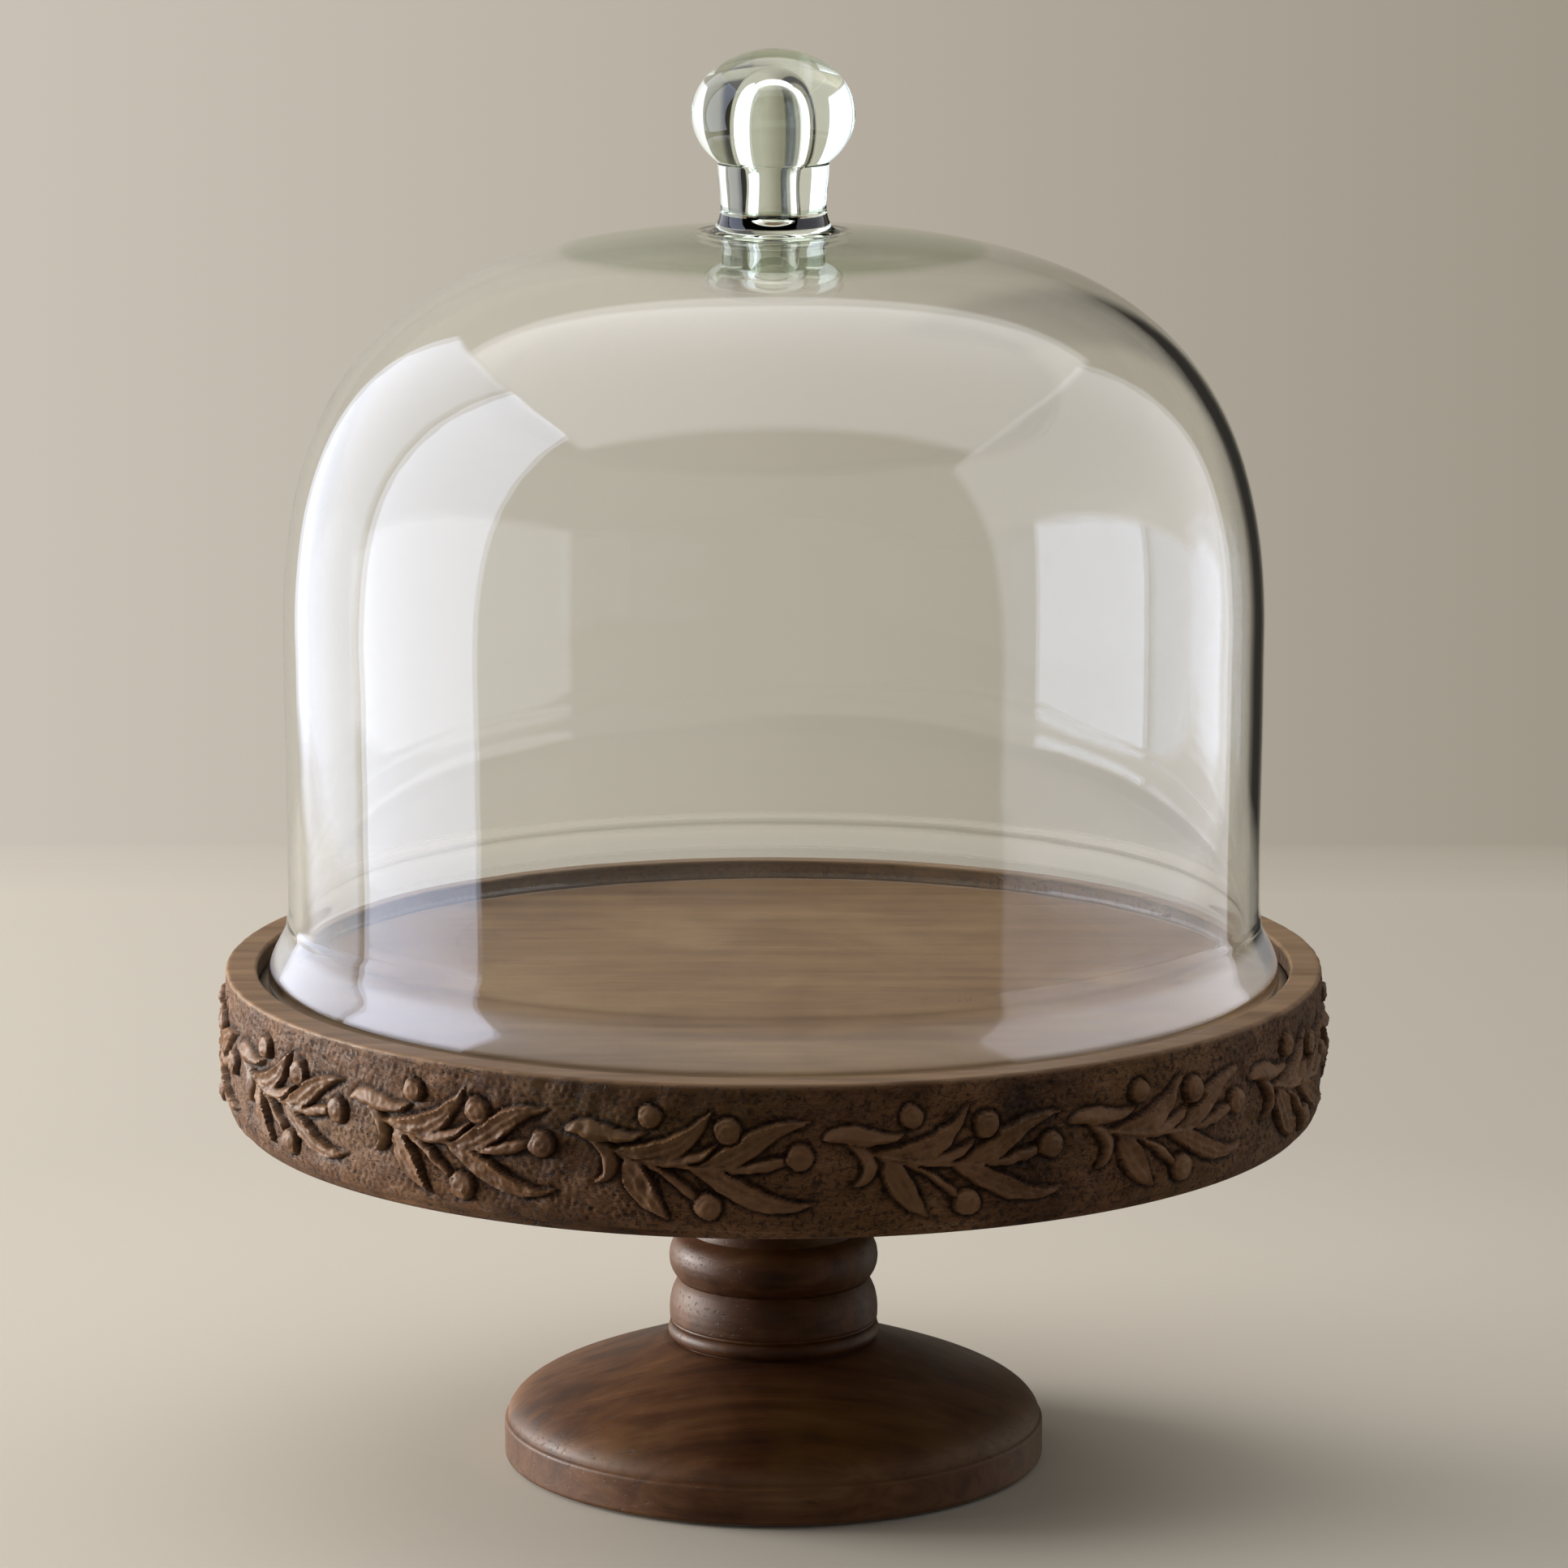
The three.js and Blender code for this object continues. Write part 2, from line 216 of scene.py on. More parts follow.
def wave(angle, along, seed, size, turns=(1, 2, 3, 5, 8), per_mm=0.05):
    """Slow unevenness round a turned or blown surface, from a few seeded sines."""
    random = np.random.default_rng(seed)
    total = 0.0
    for k in turns:
        phase, rise = random.uniform(0, 2 * math.pi), random.uniform(-1, 1) * per_mm * k
        total = total + np.sin(k * angle + rise * along + phase) / k
    return size * total


# ---- Materials ----


class Shader:
    """A material's node tree, built by adding nodes whose inputs are numbers or other nodes' outputs."""

    def __init__(self, name):
        self.material = bpy.data.materials.new(name)
        self.material.use_nodes = True
        self.tree = self.material.node_tree
        self.tree.nodes.clear()

    def add(self, kind, inputs=None, **settings):
        node = self.tree.nodes.new(kind)
        for key, value in settings.items():
            setattr(node, key, value)
        for key, value in (inputs or {}).items():
            self.feed(node.inputs[key], value)
        return node

    def feed(self, socket, value):
        if isinstance(value, bpy.types.NodeSocket):
            self.tree.links.new(value, socket)
        else:
            socket.default_value = value

    def place(self, scale=(1, 1, 1)):
        coordinates = self.add("ShaderNodeTexCoord")
        mapped = {"Vector": coordinates.outputs["Object"], "Scale": scale}
        return self.add("ShaderNodeMapping", mapped).outputs["Vector"]

    def noise(self, where, scale, detail=4.0, roughness=0.55, distortion=0.0):
        inputs = {"Vector": where, "Scale": scale, "Detail": detail, "Roughness": roughness}
        inputs["Distortion"] = distortion
        return self.add("ShaderNodeTexNoise", inputs).outputs["Fac"]

    def span(self, value, low, high, to_low=0.0, to_high=1.0):
        inputs = {"Value": value, "From Min": low, "From Max": high, "To Min": to_low, "To Max": to_high}
        return self.add("ShaderNodeMapRange", inputs, clamp=True).outputs["Result"]

    def ramp(self, value, stops):
        ramp = self.add("ShaderNodeValToRGB", {"Fac": value})
        elements = ramp.color_ramp.elements
        while len(elements) < len(stops):
            elements.new(1.0)
        for element, (position, colour) in zip(elements, stops):
            element.position = position
            element.color = (*colour, 1)
        return ramp.outputs["Color"]

    def mix(self, factor, a, b, blend="MIX"):
        node = self.add("ShaderNodeMix", data_type="RGBA", blend_type=blend)
        self.feed(node.inputs[0], factor)
        for socket, value in ((node.inputs[6], a), (node.inputs[7], b)):
            self.feed(socket, (*value, 1) if isinstance(value, tuple) else value)
        return node.outputs[2]

    def math(self, operation, a, b=0.0):
        node = self.add("ShaderNodeMath", operation=operation)
        self.feed(node.inputs[0], a)
        self.feed(node.inputs[1], b)
        return node.outputs[0]

    def bump(self, height, distance, strength=1.0, below=None):
        inputs = {"Height": height, "Distance": distance, "Strength": strength}
        if below is not None:
            inputs["Normal"] = below
        return self.add("ShaderNodeBump", inputs).outputs["Normal"]

    def finish(self, shader, volume=None):
        output = self.add("ShaderNodeOutputMaterial", {"Surface": shader})
        if volume is not None:
            self.feed(output.inputs["Volume"], volume)
        return self.material


CLEAR = (0.998, 1.0, 0.995)
THICK_GREEN = (0.51, 0.60, 0.43)
PAINTED_RING_SHADE = (0.13, 0.12, 0.05)
CAST_SHADOW = (0.94, 0.955, 0.935, 1)


def glass_material():
    """Clear glass. Its attributes are thick, which tints it green, shade, which paints two thin dark rings of
    painted shade, one at the rim's edge and one at the bend, and haze, which clouds the outside of the flare."""
    s = Shader("clear_glass")
    haze = s.add("ShaderNodeAttribute", attribute_name="haze").outputs["Fac"]
    thick = s.add("ShaderNodeAttribute", attribute_name="thick").outputs["Fac"]
    cords = s.span(s.noise(s.place((1.0, 6.0, 1.0)), 9.0, 3.0, 0.5, 0.6), 0.3, 0.7, 0.55, 1.0)
    colour = s.mix(s.math("MULTIPLY", thick, cords), CLEAR, THICK_GREEN)
    # Painted shade: two thin rings darkened towards dark olive, standing in for the shade in the gap at the
    # rim's edge and the dark line at the bend.
    shade = s.add("ShaderNodeAttribute", attribute_name="shade").outputs["Fac"]
    colour = s.mix(shade, colour, PAINTED_RING_SHADE)
    glass = s.add(
        "ShaderNodeBsdfPrincipled",
        {
            "Base Color": colour,
            "Roughness": 0.0,
            "IOR": 1.5,
            "Transmission Weight": 1.0,
            "Coat Weight": haze,
            "Coat Roughness": 0.22,
            "Coat IOR": 1.6,
            "Sheen Weight": s.math("MULTIPLY", haze, 0.5),
            "Sheen Roughness": 0.7,
        },
    )
    through = s.add("ShaderNodeBsdfTransparent", {"Color": CAST_SHADOW})
    rays = s.add("ShaderNodeLightPath")
    mixed = s.add("ShaderNodeMixShader", {"Fac": rays.outputs["Is Shadow Ray"]})
    s.tree.links.new(glass.outputs[0], mixed.inputs[1])
    s.tree.links.new(through.outputs[0], mixed.inputs[2])
    tint = s.add("ShaderNodeVolumeAbsorption", {"Color": (0.50, 0.80, 0.46, 1), "Density": 5.0})
    return s.finish(mixed.outputs[0], tint.outputs[0])


def wood_material(name, tones, tinted, streak=1.0, cloud=1.0, roughness=(0.44, 0.64), carved=False):
    """Stained wood with its grain along X. tones: four colours from the darkest to the lightest.
    tinted: the colour of the stain's patches."""
    s = Shader(name)
    grain_place = s.place((3.0, 42.0, 42.0))
    fine_place = s.place((14.0, 260.0, 260.0))
    plain_place = s.place()
    bend = s.noise(plain_place, 7.0, 2.0)
    grain = s.noise(grain_place, 3.2 * streak, 7.0, 0.62, 0.6)
    fine = s.noise(fine_place, 3.0 * streak, 5.0, 0.65, 0.2)
    clouds = s.noise(plain_place, 13.0 * cloud, 5.0, 0.6, 0.8)
    blotch = s.noise(plain_place, 42.0 * cloud, 4.0, 0.6, 0.4)
    tone = s.math("ADD", s.math("MULTIPLY", grain, 0.5), s.math("MULTIPLY", clouds, 0.42))
    tone = s.math("ADD", tone, s.math("MULTIPLY", s.math("SUBTRACT", blotch, 0.5), 0.22))
    tone = s.math("ADD", tone, s.math("MULTIPLY", s.math("SUBTRACT", bend, 0.5), 0.15))
    colour = s.ramp(tone, list(zip((0.30, 0.42, 0.54, 0.68), tones)))
    olive = s.span(s.noise(s.place((1.0, 1.0, 1.6)), 19.0, 3.0, 0.55, 0.5), 0.52, 0.72)
    colour = s.mix(s.math("MULTIPLY", olive, 0.55), colour, tinted)
    pores = s.span(fine, 0.60, 0.72)
    colour = s.mix(s.math("MULTIPLY", pores, 0.45), colour, tones[0])
    # Painted shade: near-black on the tray floor's outer ring, in the recess round the glass lip.
    painted_gap_shade = s.add("ShaderNodeAttribute", attribute_name="painted_gap_shade").outputs["Fac"]
    colour = s.mix(s.math("MULTIPLY", painted_gap_shade, 0.92), colour, (0.006, 0.0025, 0.001))
    shine = s.span(clouds, 0.3, 0.7, roughness[0], roughness[1])
    height = s.math("SUBTRACT", s.math("MULTIPLY", grain, 0.5), s.math("MULTIPLY", pores, 0.35))
    normal = s.bump(height, 0.0006, 0.55)
    if carved:
        patina_and_shade = s.add("ShaderNodeAttribute", attribute_name="patina_and_shade").outputs["Fac"]
        raised = s.add("ShaderNodeAttribute", attribute_name="raised").outputs["Fac"]
        pits = s.noise(plain_place, 620.0, 4.0, 0.7)
        pits = s.span(pits, 0.56, 0.70)
        cracks = s.noise(s.place((90.0, 90.0, 300.0)), 2.2, 3.0, 0.6, 1.4)
        cracks = s.span(s.math("ABSOLUTE", s.math("SUBTRACT", cracks, 0.5)), 0.0, 0.012, 1.0, 0.0)
        painted_top_light = s.add("ShaderNodeAttribute", attribute_name="painted_top_light").outputs["Fac"]
        ground = s.math("SUBTRACT", s.math("SUBTRACT", 1.0, raised), painted_top_light)
        pitted = s.math("MULTIPLY", s.math("MAXIMUM", pits, cracks), ground)
        patina = s.span(s.noise(plain_place, 60.0, 4.0, 0.6), 0.25, 0.75, 0.55, 1.0)
        colour = s.mix(s.math("MULTIPLY", raised, 0.22), colour, tones[3])
        colour = s.mix(s.math("MULTIPLY", pitted, 0.6), colour, tones[0])
        # Darker in the carving's hollows as patina, and a little on the rim's inner wall as painted shade.
        colour = s.mix(s.math("MULTIPLY", patina_and_shade, patina), colour, (0.011, 0.0028, 0.0006))
        # Painted light: the rim's flat top and upper edge are coloured lighter, standing in for the light
        # they catch.
        painted_top_colour = s.mix(s.span(grain, 0.35, 0.65), (0.115, 0.060, 0.027), (0.215, 0.128, 0.068))
        colour = s.mix(s.math("MULTIPLY", painted_top_light, 0.85), colour, painted_top_colour)
        normal = s.bump(s.math("MULTIPLY", pitted, -1.0), 0.0010, 1.0, normal)
        shine = s.math("ADD", shine, s.math("MULTIPLY", ground, 0.1))
    surface = s.add(
        "ShaderNodeBsdfPrincipled",
        {"Base Color": colour, "Roughness": shine, "Normal": normal, "Specular IOR Level": 0.28},
    )
    return s.finish(surface.outputs[0])


def metal_material(name, colour, roughness):
    s = Shader(name)
    brushed = s.noise(s.place((40.0, 40.0, 900.0)), 2.0, 4.0)
    shine = s.span(brushed, 0.3, 0.7, roughness, roughness + 0.15)
    dulled = s.mix(s.span(brushed, 0.4, 0.8, 0.0, 0.4), colour, tuple(0.6 * c for c in colour))
    inputs = {"Base Color": dulled, "Roughness": shine, "Metallic": 1.0}
    inputs["Normal"] = s.bump(brushed, 0.0002, 0.3)
    return s.finish(s.add("ShaderNodeBsdfPrincipled", inputs).outputs[0])


def felt_material():
    s = Shader("pad_felt")
    fibre = s.noise(s.place(), 1400.0, 5.0, 0.7, 1.5)
    clump = s.noise(s.place(), 260.0, 3.0)
    colour = s.ramp(fibre, [(0.35, (0.018, 0.017, 0.016)), (0.65, (0.075, 0.072, 0.068))])
    inputs = {"Base Color": colour, "Roughness": 0.95, "Sheen Weight": 0.4, "Sheen Roughness": 0.6}
    inputs["Normal"] = s.bump(s.math("ADD", fibre, clump), 0.0008, 0.8)
    return s.finish(s.add("ShaderNodeBsdfPrincipled", inputs).outputs[0])


DARK_STAIN = ((0.019, 0.0045, 0.0006), (0.055, 0.0180, 0.0035), (0.100, 0.041, 0.0130), (0.162, 0.084, 0.038))
CARVED_STAIN = (
    (0.024, 0.0068, 0.0010),
    (0.072, 0.0275, 0.0065),
    (0.125, 0.056, 0.0210),
    (0.200, 0.109, 0.055),
)
FLOOR_STAIN = ((0.057, 0.0245, 0.0075), (0.100, 0.049, 0.0180), (0.137, 0.074, 0.0290), (0.19, 0.114, 0.052))
AMBER = (0.085, 0.044, 0.0045)
RUSSET = (0.075, 0.022, 0.006)
BARE_WOOD = ((0.25, 0.16, 0.09), (0.38, 0.26, 0.15), (0.48, 0.34, 0.21), (0.56, 0.42, 0.27))


# ---- The glass bell with its knob ----


def dome_outside():
    lean = math.asin(DOME_CROWN_REACH / DOME_CROWN_RADIUS)
    land = math.acos((KNOB_COLLAR + SOCKET_GAP) / DOME_CROWN_RADIUS)
    centre_z = LAND_Z - DOME_CROWN_RADIUS * math.sin(land)
    radii = (DOME_CROWN_RADIUS, DOME_CROWN_RADIUS)
    crown = arc((0, centre_z), radii, 90 - math.degrees(lean), math.degrees(land), 20)
    shoulder_r, shoulder_z = crown[0]
    reach = 65.7
    turn_in = (shoulder_r + reach * math.cos(lean), shoulder_z - reach * math.sin(lean))
    wall_r, wall_z = DOME_WALL
    bulge_r, bulge_z = DOME_BULGE
    base = FLOOR_TOP - LIP_SUNK
    lip = arc((LIP_RADIUS - LIP_DRAWN_IN - LIP_ROUND, base + LIP_ROUND), (LIP_ROUND, LIP_ROUND), -90, 0, 14)
    lip_r, lip_z = lip[-1]
    flare_top = (wall_r + 0.5, FLARE_TOP_Z)
    return tidy(
        lip
        + bezier((lip_r, lip_z), (lip_r + 0.1, lip_z + 8.2), (wall_r + 1.1, FLARE_TOP_Z - 7.4), flare_top, 30)
        + bezier(
            flare_top,
            (wall_r + 0.35, FLARE_TOP_Z + 1.2),
            (wall_r, FLARE_TOP_Z + 1.4),
            (wall_r, wall_z),
            6,
        )
        + bezier((wall_r, wall_z), (wall_r, wall_z + 30), (bulge_r, bulge_z - 30), (bulge_r, bulge_z), 26)
        + bezier((bulge_r, bulge_z), (bulge_r, bulge_z + 54.5), turn_in, (shoulder_r, shoulder_z), 70)
        + crown
    )


def glass_at(radius):
    t = max(0.0, 1 - radius / DOME_CROWN_EXTRA_REACH)
    return DOME_GLASS + DOME_CROWN_EXTRA * t * t * (3 - 2 * t)


def dome_inside(outside):
    apex_z = LAND_Z + 0.5
    upper = [p for p in outside if p[1] > FLOOR_TOP + 1.5]
    crown_tail = line(upper[-1], (0.0, apex_z), step=2.0)[1:]
    upper = upper + crown_tail
    inner = [(0.0, apex_z - glass_at(0))]
    for before, here, after in reversed(list(zip(upper, upper[1:], upper[2:]))):
        dr, dz = after[0] - before[0], after[1] - before[1]
        scale = glass_at(here[0]) / math.hypot(dr, dz)
        if here[0] > 3:
            inner.append((here[0] - dz * scale, here[1] + dr * scale))
    return inner


def knob_outside():
    z = LAND_Z
    ball_z = KNOB_TOP - KNOB_BALL_HALF_HEIGHT
    collar = bezier(
        (KNOB_COLLAR + 0.6, z - 0.3),
        (KNOB_COLLAR - 1.4, z + 0.2),
        (KNOB_STEM - 0.2, z + 1.6),
        (KNOB_WAIST + 0.6, z + 5.6),
    )
    stem = bezier(
        collar[-1],
        (KNOB_WAIST + 0.3, z + 9.5),
        (KNOB_STEM + 0.2, z + 13.0),
        (KNOB_STEM + 0.1, ball_z - 13.2),
    )
    ball = arc((0, ball_z), (KNOB_BALL, KNOB_BALL_HALF_HEIGHT), -45, 90, 64)
    return collar + stem + ball


def knob_bubble():
    """The hollow blown into the knob, from its top down."""
    z = LAND_Z
    return (
        bezier((0, z + 38.2), (4.6, z + 38.2), (7.9, z + 35.4), (8.0, z + 30.0), 24)
        + bezier((8.0, z + 30.0), (8.1, z + 24.5), (5.2, z + 20.0), (4.9, z + 14.5), 20)
        + bezier((4.9, z + 14.5), (4.7, z + 10.0), (5.3, z + 6.0), (5.1, z + 3.6), 14)
        + bezier((5.1, z + 3.6), (4.9, z + 1.2), (2.4, z - 0.4), (0, z - 0.4), 12)
    )


def store_glass_looks(bell, outside):
    """Where the glass is tinted and hazed, and where two rings of painted shade go. All of it is even round
    the axis.
    """
    flare_r, flare_z = zip(*[(r, z) for r, z in outside if z < FLARE_TOP_Z])
    places = np.array([v.co for v in bell.data.vertices]) / MM
    reach = np.hypot(places[:, 0], places[:, 1])
    z = places[:, 2]
    outer = reach > np.interp(z, flare_z, flare_r) - 1.0

    crown = (1 - smoothstep(CROWN_TINT_REACH - 3, CROWN_TINT_REACH, reach)) * (reach > KNOB_COLLAR)
    crown = crown * (z > LAND_Z - 30) * (z < LAND_Z + 0.2)
    store(bell, "thick", np.maximum(crown, KNOB_TINT * (z > LAND_Z - 0.5)))

    above_rim = smoothstep(TRAY_TOP + 0.3, TRAY_TOP + 1.2, z)
    below_bend = 1 - smoothstep(FLARE_TOP_Z - 5, FLARE_TOP_Z - 1, z)
    store(bell, "haze", outer * above_rim * below_bend)

    # Painted shade: a dark ring on the outside where the glass passes the rim's edge, and a dark line on the
    # inside at the bend.
    at_rim = outer * np.exp(-(((z - TRAY_TOP + 0.2) / 0.8) ** 2))
    at_bend = ~outer * np.exp(-(((z - FLARE_TOP_Z + 0.4) / 0.75) ** 2))
    store(bell, "shade", 0.85 * at_rim + 0.4 * at_bend)


def glass_bell():
    outside = dome_outside()
    up_to_knob = [p for p in outside if p[0] > KNOB_COLLAR + 1.2 or p[1] < LAND_Z - 20]
    inside = dome_inside(outside)
    foot = [(inside[-1][0] + 0.2, FLOOR_TOP + 0.5), (inside[-1][0] + 0.7, FLOOR_TOP - LIP_SUNK)]
    outline = [p for p in inside if p[1] > FLOOR_TOP + 0.8] + foot + up_to_knob + knob_outside()

    def uneven(angle, r, z):
        steady = np.clip(r / 40, 0, 1)
        return steady * (wave(angle, z, SEED, 0.07) + wave(angle, z, SEED + 1, 0.03, (4, 7, 11), 0.16))

    shells = [turned_shell(outline, 224, False, uneven), turned_shell(knob_bubble(), 96, False)]
    bell = mesh_object("glass_bell", *joined(shells), 60)
    store_glass_looks(bell, outside)
    bell.data.materials.append(glass_material())
    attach(bell, "dome")
    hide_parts("glass_dome", "glass_knob")
    return bell


# ---- The carved frieze ----

SPRIGS = 14
FIRST_SPRIG_DEG = 4.75
SPRIG_COLUMNS = 128
RELIEF = 2.1
PITCH = 2 * math.pi * RIM_RADIUS / SPRIGS

# Leaves as (spine points, half width, form). Places are (along, down) from the sprig's left
# tip and the rim's top edge. form: how the face is cut, as a ridge, a hollow or a round stalk.
LEAVES = [
    (((0.2, -14.5), (6.5, -11.0), (14, -17.5), (22.6, -13.2)), 2.5, "ridge"),
    (((6.5, -16.0), (14.5, -18.0), (14.5, -27.0), (7.0, -27.8)), 2.0, "ridge"),
    (((8.5, -17.0), (18.0, -20.5), (31.0, -22.6), (47.0, -22.8)), 0.95, "round"),
    (((13.8, -18.7), (24.0, -21.0), (33.0, -17.5), (39.4, -6.4)), 3.3, "hollow"),
    (((21.3, -20.8), (29.0, -21.6), (37.0, -20.5), (41.4, -14.6)), 1.7, "ridge"),
    (((35.3, -21.9), (47.0, -22.0), (50.0, -11.0), (65.4, -10.4)), 3.2, "hollow"),
    (((44.4, -22.7), (49.0, -22.6), (54.0, -20.9), (59.4, -19.9)), 1.6, "round"),
    (((16.6, -20.4), (19.5, -25.0), (21.5, -31.0), (28.4, -36.2)), 3.5, "hollow"),
    (((22.3, -21.9), (28.0, -23.5), (32.0, -27.5), (36.4, -31.2)), 1.25, "round"),
    (((33.4, -22.1), (43.0, -24.0), (53.0, -36.0), (66.4, -30.6)), 2.9, "hollow"),
]
BERRIES = [(23.2, -9.2, 3.25), (43.5, -12.3, 3.65), (62.2, -19.2, 3.65), (38.5, -32.6, 3.75)]


def leaf_relief(u, v, spine, half, form):
    """Height of one leaf and the distance inside its edge, on grids of places in millimetres."""
    t = np.linspace(0, 1, 72)
    a, b, c, d = (np.array(p) for p in spine)
    w = np.stack([(1 - t) ** 3, 3 * (1 - t) ** 2 * t, 3 * (1 - t) * t * t, t**3])
    points = (w[:, :, None] * np.stack([a, b, c, d])[:, None, :]).sum(axis=0)
    tangent = np.gradient(points, axis=0)
    tangent /= np.linalg.norm(tangent, axis=1, keepdims=True)
    away = np.stack([u[..., None] - points[:, 0], v[..., None] - points[:, 1]], axis=-1)
    distance = np.hypot(away[..., 0], away[..., 1])
    nearest = distance.argmin(axis=-1)
    along = t[nearest]
    offset = np.take_along_axis(away, nearest[..., None, None], axis=-2)[..., 0, :]
    side = tangent[nearest, 0] * offset[..., 1] - tangent[nearest, 1] * offset[..., 0]
    far = np.take_along_axis(distance, nearest[..., None], axis=-1)[..., 0]
    past_end = (nearest == 0) | (nearest == len(t) - 1)
    far = np.where(past_end, far, np.abs(side))
    forward = tangent[nearest, 0] * offset[..., 0] + tangent[nearest, 1] * offset[..., 1]
    along = np.clip(along + forward / np.linalg.norm(points[-1] - points[0]), 0, 1)
    if form == "round":
        width = half * (0.75 + 0.35 * np.sin(math.pi * np.clip(along, 0, 1) ** 1.6))
    else:
        width = half * np.sin(math.pi * along**0.82) ** 0.8 + 0.35 * (1 - along)
    inside = width - far
    across = np.clip(side / np.maximum(width, 0.3), -1, 1)
    if form == "ridge":
        face = 1.0 - 0.55 * np.abs(across + 0.25)
    elif form == "hollow":
        vein = np.exp(-((across + 0.1) / 0.16) ** 2)
        face = 0.62 + 0.42 * across**2 + 0.22 * across + 0.2 * vein
    else:
        face = 0.55 + 0.35 * np.sqrt(1 - 0.9 * across**2)
    rise = 0.72 + 0.36 * np.sin(math.pi * np.clip(along, 0, 1) ** 0.9)
    return RELIEF * rise * face * smoothstep(-0.1, 0.75, inside), inside


def berry_relief(u, v, place):
    along, down, radius = place
    far = np.hypot(u - along, v - down)
    dome = np.sqrt(np.clip(1 - (far / radius) ** 2, 0, 1))
    dimple = 0.42 * np.exp(-(((far - 0.62 * radius) / 0.42) ** 2)) + 0.2 * np.exp(-((far / 0.8) ** 2))
    return RELIEF * (0.35 * (dome > 0) + 0.85 * np.minimum(dome, 0.86)) - dimple * (dome > 0), radius - far


def soft_noise(u, v, seed, scale, count=24):
    """Seeded unevenness with a wavelength near scale, that meets itself round the rim."""
    random = np.random.default_rng(seed)
    length = 2 * math.pi * RIM_RADIUS
    total = np.zeros(np.broadcast(u, v).shape)
    for _ in range(count):
        heading = random.uniform(0, 2 * math.pi)
        turns = round(length / scale * math.cos(heading) * random.uniform(0.6, 1.5))
        rise = 2 * math.pi / scale * math.sin(heading) * random.uniform(0.6, 1.5)
        total += np.sin(2 * math.pi * turns * u / length + rise * v + random.uniform(0, 2 * math.pi))
    return total / math.sqrt(count)


def sprig_relief(u, v, index):
    """Height above the rim's face, and how much of a place is carved leaf, for one sprig."""
    random = np.random.default_rng(SEED + 100 + index)
    shift = random.uniform(-0.5, 0.5, 2)
    tilt = math.radians(random.uniform(-1.3, 1.3))
    grow = random.uniform(0.97, 1.03)
    cu, cv = 33.0, -21.0
    du, dv = (u - cu - shift[0]) / grow, (v - cv - shift[1]) / grow
    lu = cu + du * math.cos(tilt) + dv * math.sin(tilt)
    lv = cv - du * math.sin(tilt) + dv * math.cos(tilt)
    height = np.zeros(u.shape)
    inside = np.full(u.shape, -9.0)
    for spine, half, form in LEAVES:
        nudge = random.uniform(-0.35, 0.35, 2)
        spine = [(p[0] + nudge[0] * k, p[1] + nudge[1] * k) for p, k in zip(spine, (0, 0.3, 1, 1.6))]
        leaf, edge = leaf_relief(lu, lv, spine, half * random.uniform(0.93, 1.07), form)
        height = np.maximum(height, leaf)
        inside = np.maximum(inside, edge)
    for place in BERRIES:
        berry, edge = berry_relief(lu, lv, place)
        height = np.where(edge > 0, np.maximum(berry, height * 0.3), height)
        height = np.where((edge <= 0) & (edge > -0.55), height * 0.35, height)
        inside = np.maximum(inside, edge)
    return height, inside


def frieze_relief(down):
    """Height, patina and raised grids for the whole band: rows are heights, columns go round. The patina grid
    darkens the carving's hollows.
    """
    columns = SPRIGS * SPRIG_COLUMNS
    height = np.zeros((len(down), columns))
    inside = np.full((len(down), columns), -9.0)
    step = PITCH / SPRIG_COLUMNS
    margin = 12
    for index in range(SPRIGS):
        cells = np.arange(-margin, SPRIG_COLUMNS + margin)
        u, v = np.meshgrid(cells * step, down)
        wander_u = 0.17 * soft_noise(u + index * PITCH, v, SEED + 13, 6.0)
        wander_v = 0.17 * soft_noise(u + index * PITCH, v, SEED + 14, 6.0)
        leaf, edge = sprig_relief(u + wander_u, v + wander_v, index)
        where = (index * SPRIG_COLUMNS + cells) % columns
        height[:, where] = np.maximum(height[:, where], leaf)
        inside[:, where] = np.maximum(inside[:, where], edge)
    raised = smoothstep(-0.05, 0.5, inside)
    cut = 0.45 * np.exp(-((np.minimum(inside, 0) / 0.9) ** 2)) * (1 - raised)
    u, v = np.meshgrid(np.arange(columns) * step, down)
    tool_marks = 0.15 * soft_noise(u, v, SEED + 7, 5.0) + 0.09 * soft_noise(u, v, SEED + 8, 2.0)
    ground = 0.15 * soft_noise(u, v, SEED + 9, 7.0) + 0.12 * soft_noise(u, v, SEED + 10, 2.0)
    surface = height + tool_marks * raised + ground * (1 - raised) - cut
    around = blurred(surface, 3)
    patina_and_shade = np.clip((around - surface) * 1.3 + cut * 0.7, 0, 1)
    return surface, patina_and_shade, raised


def blurred(grid, reach):
    """A box blur that meets itself round the rim."""
    out = np.zeros_like(grid)
    padded = np.pad(grid, ((reach, reach), (0, 0)), mode="edge")
    for i in range(-reach, reach + 1):
        out += padded[reach + i : reach + i + len(grid)]
    out /= 2 * reach + 1
    return sum(np.roll(out, i, axis=1) for i in range(-reach, reach + 1)) / (2 * reach + 1)


